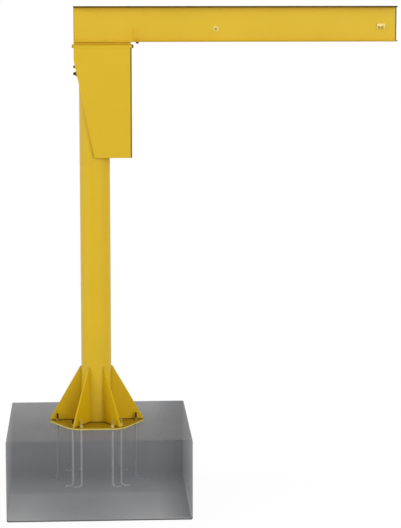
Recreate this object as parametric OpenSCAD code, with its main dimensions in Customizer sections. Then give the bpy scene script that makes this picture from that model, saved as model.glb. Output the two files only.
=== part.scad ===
// Freestanding jib crane on its own foundation block, millimetres.
// The origin is on the mast's axis at the block's underside; the boom points along +X.

/* [Foundation] */
// Side of the square foundation block
block_w = 2140; // [1800:10:3000]
// Depth of the foundation block
block_h = 945; // [850:5:1500]
// Distance from the mast's axis to the block's centre, along the boom
block_shift = 23; // [-60:1:60]

/* [Anchor bolts] */
// Diameter of an anchor bolt
anchor_d = 25.4; // [20:0.1:31]
// Depth of the hooks below the top of the block
anchor_depth = 700; // [400:10:720]
// Reach of a hook, from the bolt's axis to its end
hook_reach = 98; // [80:1:140]
// Centreline radius of the bend in an anchor bolt
hook_bend = 40; // [30:1:50]
// Distance from the base plate's cut corners to the circle that the anchor bolts stand on
anchor_edge = 83; // [60:1:110]
// Distance between the two bolts of a pair
pair_gap = 116; // [100:1:130]
// Height of an anchor bolt above the base plate
anchor_stand = 90; // [60:1:100]
// Least wall of an anchor nut, at its flats
anchor_nut_wall = 6.3; // [4:0.1:8]
// Height of an anchor nut
anchor_nut_h = 25; // [18:1:30]
// Width of an anchor washer's rim round its bolt
anchor_rim = 13.3; // [10:0.1:18]
// Thickness of an anchor washer
anchor_washer_t = 5; // [3:0.5:8]

/* [Base] */
// Width across the flats of the base plate, which has a corner under each gusset
plate_af = 1016; // [845:1:1220]
// Depth by which the base plate's corners are cut off
corner_cut = 34; // [10:1:40]
// Thickness of the base plate
plate_t = 16; // [12:1:45]
// Number of gussets round the mast, each with its pair of anchor bolts
gusset_count = 6; // [4:2:8]
// Thickness of a gusset
gusset_t = 19; // [12:1:24]
// Height of a gusset above the base plate
gusset_h = 652; // [400:1:800]
// Distance from the base plate's cut corner to the toe of a gusset
gusset_margin = 4; // [3:1:40]
// Height of a gusset's upright toe
gusset_toe = 30; // [8:1:40]
// Width of the level land at the top of a gusset
gusset_land = 14; // [8:1:40]

/* [Mast] */
// Outer diameter of the mast
mast_d = 355.6; // [295:0.1:430]
// Wall of the mast
mast_wall = 12.7; // [8:0.1:20]
// Thickness of the plate that closes the mast
cap_t = 25; // [15:1:40]

/* [Boom] */
// Height of the boom's underside above the top of the block
boom_clear = 4500; // [3500:10:6000]
// Distance from the mast's axis to the boom's tip
boom_reach = 3540; // [2500:10:5000]
// Depth of the boom
boom_h = 412; // [340:1:500]
// Width of the boom's flanges
flange_w = 178; // [148:1:215]
// Thickness of the boom's flanges
flange_t = 13; // [10:0.5:20]
// Thickness of the boom's web
web_t = 8; // [6:0.5:14]

/* [Head] */
// Distance from the mast's axis to the front of the head
head_front = 435; // [420:1:525]
// Distance from the mast to the back of the head, where the boom ends too
back_room = 58.2; // [55:0.1:80]
// Height of the head's shell
head_h = 1274; // [1100:1:1500]
// Plate thickness of the head's shell
head_t = 12; // [8:1:18]
// Clearance between the mast and the shell's sides
side_gap = 14.2; // [10:0.1:40]
// Outer radius of the shell's bent corners
head_bend = 32; // [20:1:45]
// Depth from the top of the shell to the knee in its back edge
knee_drop = 135; // [80:1:300]
// Distance behind the mast's axis of the shell's back edge at its lower end
heel_back = 5; // [-40:1:60]
// Thickness of the head's top plate
top_t = 30; // [20:1:40]
// Overhang of the top plate past the shell's front and back, its sides being flush
top_lip = 21; // [10:1:40]
// Thickness of the saddle on the top plate
saddle_t = 18; // [12:1:30]
// Thickness of the saddle under the boom
boom_saddle_t = 16; // [12:1:30]
// Distance from the front of the head to the front of the saddles
saddle_short = 7; // [0:1:40]
// Distance from the flange's edges to the saddles' sides
saddle_inset = 25; // [12:1:26]

/* [Top bearing] */
// Diameter of the pivot pin
pin_d = 90; // [70:1:110]
// Length of the pin inside the mast, below the cap
pin_root = 60; // [40:1:120]
// Wall of the bearing housing
housing_wall = 50; // [25:1:60]
// Height of the bearing housing
housing_h = 90; // [60:1:120]
// Width of the thrust washer's rim round the pin
thrust_rim = 30; // [15:1:45]
// Thickness of the thrust washer
thrust_t = 6; // [4:0.5:12]

/* [Trunnion rollers] */
// Diameter of a roller
roller_d = 120; // [90:1:145]
// Height of a roller
roller_h = 80; // [60:1:110]
// Angle between a roller and the boom's direction, seen from above
roller_angle = 25; // [22:1:30]
// Diameter of a roller's axle
axle_d = 30; // [24:1:36]
// Overhang of an axle's head past the axle
axle_lip = 8; // [5:1:12]
// Height of an axle's head
axle_head_h = 8; // [6:1:12]
// Length of an axle below the lower bracket
axle_tail = 10; // [6:1:20]
// Thickness of the roller brackets
bracket_t = 15; // [10:1:25]
// Height of the lower bracket above the bottom of the shell
bracket_rise = 22; // [10:1:60]
// Distance that the brackets reach back past the front of the mast
bracket_wrap = 58; // [20:1:100]

/* [Rear tie] */
// Clearance between the mast and the tie bar
tie_gap = 13.2; // [8:0.1:20]
// Thickness of the tie bar and of the lugs that it is bolted to
tie_t = 12; // [8:1:14]
// Height of the tie bar
tie_h = 150; // [120:1:200]
// Depth from the top of the shell to the middle of the tie bar
tie_drop = 264; // [230:1:320]
// Width of a lug
lug_w = 72; // [60:1:80]
// Distance from the shell's sides to the tie bolts
tie_bolt_in = 42; // [25:1:50]
// Vertical distance between the tie bolts
tie_bolt_gap = 80; // [60:1:100]
// Length of the tie bolts past their nuts
tie_bolt_end = 24; // [6:1:30]

/* [Boom fittings] */
// Distance from the back of the head to the first row of boom bolts
bolt_row_back = 46; // [36:1:60]
// Distance from the bearing housing to the second row of boom bolts
bolt_row_middle = 35; // [28:1:80]
// Distance from the front of the head to the third row of boom bolts
bolt_row_front = 65; // [50:1:100]
// Distance from the flange's edges to the boom bolts
bolt_edge = 45; // [42:1:48]
// Diameter of a boom bolt
boom_bolt_d = 24; // [20:1:27]
// Distance from the front of the head to the upright faces of the inner trolley stops
inner_stop_ahead = 45; // [35:1:300]
// Height of an inner trolley stop
inner_stop_h = 152; // [60:1:200]
// Length of the leg by which an inner trolley stop is bolted to the flange
inner_stop_leg = 50; // [40:1:70]
// Thickness of an inner trolley stop
inner_stop_t = 10; // [8:1:14]
// Clear distance between the web and an inner trolley stop
inner_stop_gap = 14; // [12:1:30]
// Diameter of the bolts in the web, in the rear tie and in the inner stops
bolt_d = 20; // [16:1:24]
// Distance from the mast's axis to the single bolt in the web
web_bolt_x = 1422; // [800:1:3000]
// Height of the bolts in the web above the boom's underside
web_bolt_z = 150; // [120:1:200]
// Width of the rim of the round washers on the single bolt in the web
web_washer_rim = 21; // [12:1:25]
// Thickness of those washers
web_washer_t = 3; // [2:0.5:5]
// Distance from the boom's tip to the middle of the end stops
end_stop_in = 185; // [60:1:400]
// Length of an end stop
end_stop_w = 93; // [85:1:120]
// Height of an end stop
end_stop_h = 58; // [50:1:90]
// Thickness of an end stop
end_stop_t = 16; // [10:1:25]
// Space between the heads of an end stop's two bolts
end_bolt_space = 5.4; // [2:0.1:8]
// Space between an end stop's lower edge and its bolts' heads
end_bolt_rise = 3; // [2:0.5:8]
// Distance that the end stops reach below the height of the single bolt
end_stop_drop = 2; // [-10:1:30]

/* [Hidden] */
$fn = 64;
// Clearances: a cast-in or bolted shank, a running bore, a part that turns beside another
fit = 0.15;
run = 0.08;
turn = 0.3;
mast_gap = 0.5;
bracket_gap = 15;
corner_gap = 3;
hole_over = 6;
// Margins: a stop from the flange's edge, a thread past its nut, a flat head's cone above the
// lower face of its plate, a pin below the saddle
flange_margin = 5;
thread_end = 6;
sink_land = 3;
pin_short = 2;
// Parts of a bolt's diameter: width across flats, height of a nut, height of a head
across_flats = 1.5;
nut_height = 0.8;
head_height = 0.65;
// What a cut runs past a face, and what stands for an endless length
eps = 1;
endless = 6000;

block_top = block_h;
plate_top = block_top + plate_t;
mast_r = mast_d / 2;
corner_turn = 180 / gusset_count;
plate_corner_r = plate_af / 2 / cos(corner_turn);
plate_r = plate_corner_r - corner_cut;
anchor_circle = plate_r - anchor_edge;
gusset_reach = plate_r - gusset_margin;
anchor_top = plate_top + anchor_stand;
anchor_nut_af = anchor_d + 2 * anchor_nut_wall;
anchor_washer_d = anchor_d + 2 * anchor_rim;
hook_z = block_top - anchor_depth;

head_back = mast_r + back_room;
boom_z = block_top + boom_clear;
web_half = web_t / 2;
flange_half = flange_w / 2;
saddle_half = flange_half - saddle_inset;
flange_top = boom_z + flange_t;
web_top = boom_z + boom_h - flange_t;
boom_l = head_back + boom_reach;
sink_h = flange_t - sink_land;
top_z = boom_z - boom_saddle_t - saddle_t;
shell_top = top_z - top_t;
shell_z = shell_top - head_h;
inner_half = mast_r + side_gap;
shell_half = inner_half + head_t;
saddle_front = head_front - saddle_short;

housing_d = pin_d + 2 * housing_wall;
thrust_d = pin_d + 2 * thrust_rim;
housing_z = shell_top - housing_h;
cap_top = housing_z - turn - thrust_t;
mast_top = cap_top - cap_t;
pin_top = top_z - pin_short;

roller_z = shell_z + bracket_rise + bracket_t + turn;
upper_bracket_z = roller_z + roller_h + turn;
roller_orbit = mast_r + mast_gap + roller_d / 2;
bracket_back = mast_r - bracket_wrap;
bracket_front = head_front - head_bend - corner_gap;
axle_top = upper_bracket_z + bracket_t;

tie_z = shell_top - tie_drop;
tie_back = mast_r + tie_gap + tie_t;
tie_half = inner_half - turn;
tie_bolt_y = inner_half - tie_bolt_in;

nut_af = across_flats * bolt_d;
nut_h = nut_height * bolt_d;
bolt_head_h = head_height * bolt_d;
boom_nut_af = across_flats * boom_bolt_d;
boom_nut_h = nut_height * boom_bolt_d;
boom_bolt_rows = [bolt_row_back - head_back,
                  housing_d / 2 + bolt_row_middle,
                  head_front - bolt_row_front];
boom_bolt_y = flange_half - bolt_edge;
inner_stop_x = head_front + inner_stop_ahead;
stop_bolt_x = inner_stop_x + inner_stop_leg / 2;
stop_bolt_y = (web_half + inner_stop_gap + flange_half - flange_margin) / 2;
end_stop_x = boom_reach - end_stop_in;
end_stop_z = boom_z + web_bolt_z - end_stop_drop;
end_bolt_z = end_stop_z + end_bolt_rise + nut_af / 2;
end_bolt_gap = nut_af / cos(30) + end_bolt_space;
web_bolt_at = [web_bolt_x, 0, boom_z + web_bolt_z];
web_washer_d = bolt_d + 2 * web_washer_rim;

yellow = [0.87, 0.72, 0.22];
steel = [0.72, 0.72, 0.70];
dark_steel = [0.30, 0.30, 0.31];
bronze = [0.72, 0.53, 0.28];
concrete = [0.50, 0.50, 0.51, 0.6];

// Angle of a gusset, with the first one under the boom
function gusset_angle(i) = 360 * (i - 1) / gusset_count;
// Half of the angle between the two bolts of a pair
pair_half = asin(pair_gap / 2 / anchor_circle);

module at_pair(i) {
    for (side = [-1, 1]) {
        a = gusset_angle(i) + side * pair_half;
        translate([anchor_circle * cos(a), anchor_circle * sin(a), 0])
            rotate([0, 0, cos(a) > 0 ? 0 : 180])
                children();
    }
}

module at_all_anchors() {
    for (i = [1:gusset_count]) at_pair(i) children();
}

// A hooked anchor bolt on the Z axis, its hook towards +X; grow widens it for its place in the block
module hooked_bolt(grow, top) {
    r = anchor_d / 2 + grow;
    translate([0, 0, hook_z + hook_bend]) cylinder(r = r, h = top - hook_z - hook_bend);
    translate([hook_bend, 0, hook_z + hook_bend])
        rotate([90, 0, 0])
            rotate([0, 0, 180])
                rotate_extrude(angle = 90) translate([hook_bend, 0]) circle(r = r);
    translate([hook_bend, 0, hook_z])
        rotate([0, 90, 0]) cylinder(r = r, h = hook_reach - hook_bend + grow);
}

module hex(af, h) cylinder(d = af / cos(30), h = h, $fn = 6);

module ring(outer, inner, h) {
    difference() {
        cylinder(d = outer, h = h);
        translate([0, 0, -eps]) cylinder(d = inner, h = h + 2 * eps);
    }
}

module nut(af, h, bolt) {
    difference() {
        hex(af, h);
        translate([0, 0, -eps]) cylinder(d = bolt + 2 * fit, h = h + 2 * eps);
    }
}

module foundation_block() {
    color(concrete)
        difference() {
            translate([block_shift - block_w / 2, -block_w / 2, 0]) cube([block_w, block_w, block_h]);
            at_all_anchors() hooked_bolt(fit, block_top + eps);
        }
}

module anchor_pair(i) {
    color(steel) at_pair(i) hooked_bolt(0, anchor_top);
}

module anchor_washers() {
    color(steel)
        at_all_anchors()
            translate([0, 0, plate_top]) ring(anchor_washer_d, anchor_d + 2 * fit, anchor_washer_t);
}

module anchor_nuts() {
    color(steel)
        at_all_anchors()
            translate([0, 0, plate_top + anchor_washer_t]) nut(anchor_nut_af, anchor_nut_h, anchor_d);
}

module base_plate() {
    color(yellow)
        difference() {
            translate([0, 0, block_top])
                intersection() {
                    cylinder(r = plate_corner_r, h = plate_t, $fn = gusset_count);
                    rotate([0, 0, corner_turn])
                        cylinder(r = plate_r / cos(corner_turn), h = plate_t, $fn = gusset_count);
                }
            at_all_anchors() bolt_hole(anchor_d + hole_over, block_top, plate_t);
        }
}

module gusset(i) {
    root = mast_r + fit;
    color(yellow)
        rotate([0, 0, gusset_angle(i)])
            translate([0, gusset_t / 2, plate_top])
                rotate([90, 0, 0])
                    linear_extrude(gusset_t)
                        polygon([[root, 0], [gusset_reach, 0], [gusset_reach, gusset_toe],
                                 [root + gusset_land, gusset_h], [root, gusset_h]]);
}

module mast() {
    color(yellow)
        translate([0, 0, plate_top])
            ring(mast_d, mast_d - 2 * mast_wall, mast_top - plate_top, $fn = 128);
}

module mast_cap() {
    color(yellow)
        translate([0, 0, mast_top]) ring(mast_d, pin_d + 2 * fit, cap_t, $fn = 128);
}

module pivot_pin() {
    color(steel)
        translate([0, 0, mast_top - pin_root]) cylinder(d = pin_d, h = pin_top - mast_top + pin_root);
}

module thrust_washer() {
    color(bronze) translate([0, 0, cap_top]) ring(thrust_d, pin_d + 2 * fit, thrust_t);
}

module at_boom_bolts() {
    for (x = boom_bolt_rows, y = [-boom_bolt_y, boom_bolt_y]) translate([x, y, 0]) children();
}

module at_inner_stop_bolts() {
    for (y = [-stop_bolt_y, stop_bolt_y]) translate([stop_bolt_x, y, 0]) children();
}

module at_end_bolts() {
    for (side = [-1, 1]) translate([end_stop_x + side * end_bolt_gap / 2, 0, end_bolt_z]) children();
}

// A hole of the given bolt along Z, from the height z up through the thickness t
module bolt_hole(d, z, t) {
    translate([0, 0, z - eps]) cylinder(d = d + 2 * fit, h = t + 2 * eps);
}

// A boom bolt, its flat head flush with the boom's lower flange; grow widens it for its hole
module flat_head_bolt(bottom, grow) {
    r = boom_bolt_d / 2 + grow;
    translate([0, 0, bottom]) cylinder(r = r, h = flange_top - bottom);
    translate([0, 0, flange_top - sink_h]) cylinder(r1 = r, r2 = r + sink_h, h = sink_h);
}

// One flange of the boom, with its lower face at the height z
module flange(z) {
    translate([-head_back, -flange_half, z]) cube([boom_l, flange_w, flange_t]);
}

module boom_top_flange() {
    color(yellow) flange(web_top);
}

module boom_web() {
    color(yellow)
        difference() {
            translate([-head_back, -web_half, flange_top]) cube([boom_l, web_t, web_top - flange_top]);
            translate(web_bolt_at) rotate([90, 0, 0]) bolt_hole(bolt_d, -web_half, web_t);
            at_end_bolts() rotate([90, 0, 0]) bolt_hole(bolt_d, -web_half, web_t);
        }
}

module boom_bottom_flange() {
    color(yellow)
        difference() {
            flange(boom_z);
            at_boom_bolts() flat_head_bolt(top_z, fit);
            at_inner_stop_bolts() bolt_hole(bolt_d, boom_z, flange_t);
        }
}

// A plate between the boom and the head, narrower than the flange, from the height z up through t
module saddle(z, t) {
    difference() {
        translate([-head_back, -saddle_half, z]) cube([head_back + saddle_front, 2 * saddle_half, t]);
        at_boom_bolts() bolt_hole(boom_bolt_d, z, t);
    }
}

module boom_saddle() {
    color(yellow) saddle(boom_z - boom_saddle_t, boom_saddle_t);
}

module head_saddle() {
    color(yellow) saddle(top_z, saddle_t);
}

module head_top_plate() {
    color(yellow)
        difference() {
            translate([-head_back - top_lip, -shell_half, shell_top])
                cube([head_back + head_front + 2 * top_lip, 2 * shell_half, top_t]);
            bolt_hole(pin_d + hole_over, shell_top, top_t);
            at_boom_bolts() bolt_hole(boom_bolt_d, shell_top, top_t);
        }
}

// Area behind the line x = front, across 2 * half, with the two front corners rounded to r
module bent_area(front, half, r) {
    translate([-endless, -half]) square([endless + front - r, 2 * half]);
    translate([-endless, r - half]) square([endless + front, 2 * (half - r)]);
    for (side = [-1, 1]) translate([front - r, side * (half - r)]) circle(r = r);
}

// One plate bent round the front of the mast: two sides with a sloping back edge, and a closed front
module head_shell() {
    color(yellow)
        intersection() {
            translate([0, 0, shell_z])
                linear_extrude(head_h)
                    difference() {
                        bent_area(head_front, shell_half, head_bend);
                        bent_area(head_front - head_t, inner_half, head_bend - head_t);
                    }
            translate([0, shell_half + eps, 0])
                rotate([90, 0, 0])
                    linear_extrude(2 * (shell_half + eps))
                        polygon([[-head_back, shell_top + eps], [-head_back, shell_top - knee_drop],
                                 [-heel_back, shell_z - eps], [head_front + eps, shell_z - eps],
                                 [head_front + eps, shell_top + eps]]);
        }
}

module bearing_housing() {
    color(yellow) translate([0, 0, housing_z]) ring(housing_d, pin_d + 2 * run, housing_h);
}

module boom_bolts() {
    color(dark_steel) at_boom_bolts() flat_head_bolt(shell_top - boom_nut_h - thread_end, 0);
}

module boom_nuts() {
    color(dark_steel)
        at_boom_bolts()
            translate([0, 0, shell_top - boom_nut_h]) nut(boom_nut_af, boom_nut_h, boom_bolt_d);
}

module at_tie_bolts() {
    for (y = [-tie_bolt_y, tie_bolt_y], z = [-tie_bolt_gap / 2, tie_bolt_gap / 2])
        translate([0, y, tie_z + z]) rotate([0, -90, 0]) children();
}

module rear_tie_bar() {
    color(yellow)
        difference() {
            translate([-tie_back, -tie_half, tie_z - tie_h / 2]) cube([tie_t, 2 * tie_half, tie_h]);
            at_tie_bolts() bolt_hole(bolt_d, tie_back - tie_t, tie_t);
        }
}

module rear_tie_lugs() {
    color(yellow)
        difference() {
            for (side = [-1, 1])
                translate([tie_t - tie_back, side * (inner_half - lug_w / 2) - lug_w / 2, 0])
                    translate([0, 0, tie_z - tie_h / 2]) cube([tie_t, lug_w, tie_h]);
            at_tie_bolts() bolt_hole(bolt_d, tie_back - 2 * tie_t, tie_t);
        }
}

module rear_tie_bolts() {
    color(steel)
        at_tie_bolts() {
            translate([0, 0, tie_back - 2 * tie_t - bolt_head_h]) hex(nut_af, bolt_head_h);
            translate([0, 0, tie_back - 2 * tie_t])
                cylinder(d = bolt_d, h = 2 * tie_t + nut_h + tie_bolt_end);
        }
}

module rear_tie_nuts() {
    color(steel) at_tie_bolts() translate([0, 0, tie_back]) nut(nut_af, nut_h, bolt_d);
}

module at_rollers() {
    for (a = [-roller_angle, roller_angle])
        translate([roller_orbit * cos(a), roller_orbit * sin(a), 0]) children();
}

module roller_bracket(z) {
    color(yellow)
        difference() {
            translate([bracket_back, -inner_half, z])
                cube([bracket_front - bracket_back, 2 * inner_half, bracket_t]);
            translate([0, 0, z - eps])
                cylinder(r = mast_r + bracket_gap, h = bracket_t + 2 * eps, $fn = 128);
            at_rollers() bolt_hole(axle_d, z, bracket_t);
        }
}

module rollers() {
    color(steel) at_rollers() translate([0, 0, roller_z]) ring(roller_d, axle_d + 2 * run, roller_h);
}

module roller_axles() {
    bottom = shell_z + bracket_rise - axle_tail;
    color(steel)
        at_rollers() {
            translate([0, 0, bottom]) cylinder(d = axle_d, h = axle_top - bottom);
            translate([0, 0, axle_top]) cylinder(d = axle_d + 2 * axle_lip, h = axle_head_h);
        }
}

// An angle on the lower flange beside the web, its upright leg towards the mast
module inner_stop() {
    start = web_half + inner_stop_gap;
    width = flange_half - flange_margin - start;
    translate([inner_stop_x - inner_stop_t, start, flange_top]) {
        cube([inner_stop_t, width, inner_stop_h]);
        cube([inner_stop_t + inner_stop_leg, width, inner_stop_t]);
    }
}

module inner_stops() {
    color(yellow)
        difference() {
            for (side = [0, 1]) mirror([0, side, 0]) inner_stop();
            at_inner_stop_bolts() bolt_hole(bolt_d, flange_top, inner_stop_t);
        }
}

module inner_stop_bolts() {
    top = flange_top + inner_stop_t;
    bottom = boom_z - nut_h - thread_end;
    color(steel)
        at_inner_stop_bolts() {
            translate([0, 0, bottom]) cylinder(d = bolt_d, h = top - bottom);
            translate([0, 0, top]) hex(nut_af, bolt_head_h);
        }
}

module inner_stop_nuts() {
    color(steel) at_inner_stop_bolts() translate([0, 0, boom_z - nut_h]) nut(nut_af, nut_h, bolt_d);
}

// A bolt along +Y with its head on the front, through a stack that is 2 * half thick
module web_bolt(half) {
    rotate([-90, 0, 0]) {
        translate([0, 0, -half - bolt_head_h]) hex(nut_af, bolt_head_h);
        translate([0, 0, -half]) cylinder(d = bolt_d, h = 2 * half + nut_h + thread_end);
    }
}

// The nut of such a bolt
module web_nut(half) {
    translate([0, half, 0]) rotate([-90, 0, 0]) nut(nut_af, nut_h, bolt_d);
}

module web_bolts() {
    color(dark_steel) {
        translate(web_bolt_at) web_bolt(web_half + web_washer_t);
        at_end_bolts() web_bolt(web_half + end_stop_t);
    }
}

module web_nuts() {
    color(dark_steel) {
        translate(web_bolt_at) web_nut(web_half + web_washer_t);
        at_end_bolts() web_nut(web_half + end_stop_t);
    }
}

module web_washers() {
    color(steel)
        for (y = [-web_half - web_washer_t, web_half])
            translate(web_bolt_at)
                translate([0, y, 0])
                    rotate([-90, 0, 0]) ring(web_washer_d, bolt_d + 2 * fit, web_washer_t);
}

module end_stops() {
    color(steel)
        difference() {
            for (y = [-web_half - end_stop_t, web_half])
                translate([end_stop_x - end_stop_w / 2, y, end_stop_z])
                    cube([end_stop_w, end_stop_t, end_stop_h]);
            at_end_bolts()
                rotate([90, 0, 0]) bolt_hole(bolt_d, -web_half - end_stop_t, 2 * (web_half + end_stop_t));
        }
}

foundation_block();
for (i = [1:gusset_count])
    anchor_pair(i);
anchor_washers();
anchor_nuts();
base_plate();
for (i = [1:gusset_count])
    gusset(i);
mast();
mast_cap();
pivot_pin();
thrust_washer();
boom_top_flange();
boom_web();
boom_bottom_flange();
boom_saddle();
head_saddle();
head_top_plate();
head_shell();
bearing_housing();
boom_bolts();
boom_nuts();
rear_tie_bar();
rear_tie_lugs();
rear_tie_bolts();
rear_tie_nuts();
roller_bracket(upper_bracket_z);  // roller_bracket_upper
roller_bracket(shell_z + bracket_rise);  // roller_bracket_lower
rollers();
roller_axles();
inner_stops();
inner_stop_bolts();
inner_stop_nuts();
web_bolts();
web_washers();
web_nuts();
end_stops();
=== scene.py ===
"""Looks of the freestanding jib crane: paint, steel, threads, weld beads and the see-through block.

Everything is in metres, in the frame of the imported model: the mast's axis is Z, the boom points along +X.
"""

import random
from math import cos, pi, radians, sin, tan

import bmesh
import bpy
from mathutils import Matrix, Vector


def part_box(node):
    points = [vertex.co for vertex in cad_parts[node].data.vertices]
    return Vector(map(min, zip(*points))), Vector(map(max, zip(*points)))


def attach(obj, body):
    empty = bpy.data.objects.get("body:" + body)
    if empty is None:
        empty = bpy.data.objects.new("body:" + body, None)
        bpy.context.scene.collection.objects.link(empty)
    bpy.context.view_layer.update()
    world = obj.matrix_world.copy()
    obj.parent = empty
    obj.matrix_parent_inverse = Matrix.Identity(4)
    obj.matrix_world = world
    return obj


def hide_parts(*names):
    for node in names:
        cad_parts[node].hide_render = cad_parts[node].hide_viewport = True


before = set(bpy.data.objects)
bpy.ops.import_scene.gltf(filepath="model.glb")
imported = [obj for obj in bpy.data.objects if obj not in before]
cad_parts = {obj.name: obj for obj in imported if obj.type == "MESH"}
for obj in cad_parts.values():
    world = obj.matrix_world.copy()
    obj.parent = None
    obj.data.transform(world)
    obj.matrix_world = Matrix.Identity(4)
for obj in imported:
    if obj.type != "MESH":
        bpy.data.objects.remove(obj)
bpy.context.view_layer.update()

MM = 0.001
X, Y, Z = Vector((1, 0, 0)), Vector((0, 1, 0)), Vector((0, 0, 1))
UP, DOWN = Z, -Z

# Camera: where it stands, what it looks at and its lens on a 36 mm sensor
CAMERA_AT = Vector((-0.107, -23.313, 6.265))
CAMERA_AIM = Vector((1.242, 0.0, 2.824))
LENS_MM = 135.77
SENSOR_MM = 36.0

# Faces that meet at more than this are shaded with an edge between them
SHARP = radians(32)

# Proportions of bolts, as parts of their diameter, the thread's depth as a part of its pitch, and the radius
# where a hexagon's chamfer starts, as a part of its flats
HEAD_HEIGHT = 0.65
THREAD_LENGTH = 2
THREAD_PITCH = 0.125
THREAD_DEPTH = 0.6
CHAMFER_START = 0.475
CHAMFER_ANGLE = radians(30)
CHAMFER_STEPS = 4
SIDES = 48
RINGS_PER_TURN = 8
BOLT = 20 * MM
BOOM_NUT_BORE = 12 * MM
# The anchors' nuts are turned about their bolts, and this much narrower, so that they stay inside the CAD's
TURNED_NUT = 0.995

ANCHOR_BEND = 40 * MM
BEND_STEPS = 12
ANCHOR_THREAD = 110 * MM

# Weld beads: leg length at the foot and elsewhere, pitch and depth of the ripples and rings in each, how much
# of the leg's length is left at a bead's ends and how much grows over its first rings, the fewest rings that a
# bead has, how uneven it is, how far it bulges and how deep its root lies
FOOT_LEG = 9 * MM
LEG = 7 * MM
RIPPLE = 7 * MM
RIPPLE_DEPTH = 0.07
RIPPLE_RINGS = 3
BEAD_END, BEAD_GROWTH = 0.55, 0.45
END_RINGS = 4
FEWEST_RINGS = 6
UNEVEN = (0.97, 1.03)
BULGE = 0.16
BULGE_STEPS = 4
ROOT = 0.3 * MM
# How far the gussets' beads stop short of their tops and toes, and how far in from the head's sides its bends
# start
SHORT_OF_TOP = 4 * MM
SHORT_OF_TOE = 6 * MM
SHELL_BEND = 32 * MM

# Width of the rounded edges of the CAD nodes that stay: plates, turned parts, washers and small parts
EDGE = 1.6 * MM
TURNED_EDGE = 1.2 * MM
WASHER_EDGE = 0.6 * MM
SMALL_EDGE = 0.5 * MM

# Yellow paint: two colours that it lies between, and its gloss
HEAD_PAINT = (0.70, 0.454, 0.009), (0.74, 0.480, 0.012), 0.3
BOOM_PAINT = (0.72, 0.482, 0.013), (0.76, 0.510, 0.017), 0.35
DUSTY_BOOM = *BOOM_PAINT[:2], 0.12
MAST_PAINT = (0.69, 0.450, 0.009), (0.73, 0.476, 0.012), 0.3
# The base's paint is darker than the head's: painted shade among the gussets
BASE_PAINT = (0.65, 0.425, 0.006), (0.69, 0.450, 0.009), 0.15
# Darkening painted on it: painted shade low on open faces and in corners, and near-black marks on edges and
# bends;
# how much of the shade lies in a corner, and how far out of the corner it reaches
LOW_SHADE = (0.20, 0.120, 0.004)
CREASE_SHADE = (0.11, 0.065, 0.004)
DARK_MARKS = (0.009, 0.006, 0.001)
CREASE_SHADE_STRENGTH = 0.7
REACH = 25 * MM
NEAR_REACH = 12 * MM
PLATE_REACH = 45 * MM
# How open a place is where it is wholly a corner, and where it no longer is one
OPENNESS = (0.35, 0.95)
# The mast's painted shade towards its foot: how much, and the heights between which it thins out
MAST_FOOT_SHADE = 0.3
MAST_SHADE_HEIGHTS = (0.9, 1.5)
# How dark the marks are on the top flange's top and on the lower flange's upright faces, and how far past the
# head's front the lower one comes in
TOP_FACE_DARK = 0.35
LOWER_EDGE_DARK = 0.34
LOWER_DARK_IN = (-10 * MM, 40 * MM)
# The web's near-black marks, by their distance from its tip, its rear end and its top, and how strong the
# rear's is;
# the one under its top flange is painted shade
TIP_EDGE = (18 * MM, 14 * MM)
REAR_EDGE = (9 * MM, 13 * MM)
FLANGE_EDGE = (7 * MM, 4 * MM)
REAR_STRENGTH = 0.4
# The head plate's near-black ends come in over this length
PLATE_END = 4 * MM
# How far the head's shell faces along X where a bend begins and where it ends
BEND_BEGINS = (0.35, 0.6)
BEND_ENDS = (0.97, 0.995)
# How squarely a face has to look up or down to start counting as level, and to count fully
LEVEL = (0.85, 0.99)
# The part of its range in which a noise texture mostly lies
NOISE_RANGE = (0.3, 0.7)

# The block: its skin's alpha, and its top, painted lighter from the second place along Y to the first
SKIN_ALPHA = (0.54, 0.59)
BLOCK_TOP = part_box("foundation_block")[1].z
TOP_LIGHTER = (-1.07, 0.6)
# Its underside, which clears towards the front, from the second place along Y to the first and down to this
# alpha, with a step on the way, behind which this part of the clearing is left
CLEARING = (0.15, 1.07)
UNDERSIDE = 0.40
CLEARING_STEP = (0.17, 0.27)
BEHIND_STEP = 0.45
# A painted shadow in the underside that keeps it from clearing: its middle, its size and where it is thickest
SHADOW_PATCH_AT = Vector((-0.17, -0.75, 0.0))
SHADOW_PATCH_SIZE = Vector((0.68, 1.2, 1.0))
SHADOW_PATCH_CORE = 0.8
# Where its skin thickens and darkens towards one side, along X, and to what alpha: painted shade
RIGHT_SHADE = (0.72, 1.06)
RIGHT_SHADE_ALPHA = 0.78
# Its front, back to here along Y, with a faint darker band, which comes in and goes out again up its height,
# and a dark line at its foot
FRONT = (-1.04, -0.9)
BAND_IN = (0.42, 0.57)
BAND_OUT = (0.62, 0.88)
BAND_STRENGTH = 0.35
FOOT_LINE_HEIGHT = (0.016, 0.022)
FOOT_LINE_ALPHA = 0.9
FRONT_DARK = (0.02, 0.02, 0.022)

# The way across the plate, nearly along Y, and how far along it the anchors' ends turn from pale to dark, as
# painted shade
SHADE_WAY = (-0.1, 1.0, 0.0)
SHADE_ALONG = (-0.40, -0.36)
# How far from the middle, along Y, the cast-in rods stop being duller
DULL_MIDDLE = (0.1, 0.3)

# Light: the world, how far the floor is lit up for the camera and how brightly, and the lamps' strength,
# azimuth, elevation and width, the angles in degrees
SKY_LIGHT = 0.70
FLOOR_GLOW, FLOOR_WHITE = 0.86, 1.06
FLOOR_COLOUR = (0.88, 0.88, 0.88, 1)
FLOOR_SIZE = 400.0
WHITE = (1, 1, 1, 1)
LAMPS = {"left": (1.0, -75, 14), "right": (1.18, 28, 14)}
LAMP_WIDTH = 40

dice = random.Random(7)


# ---------------------------------------------------------------- reading the frame

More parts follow.
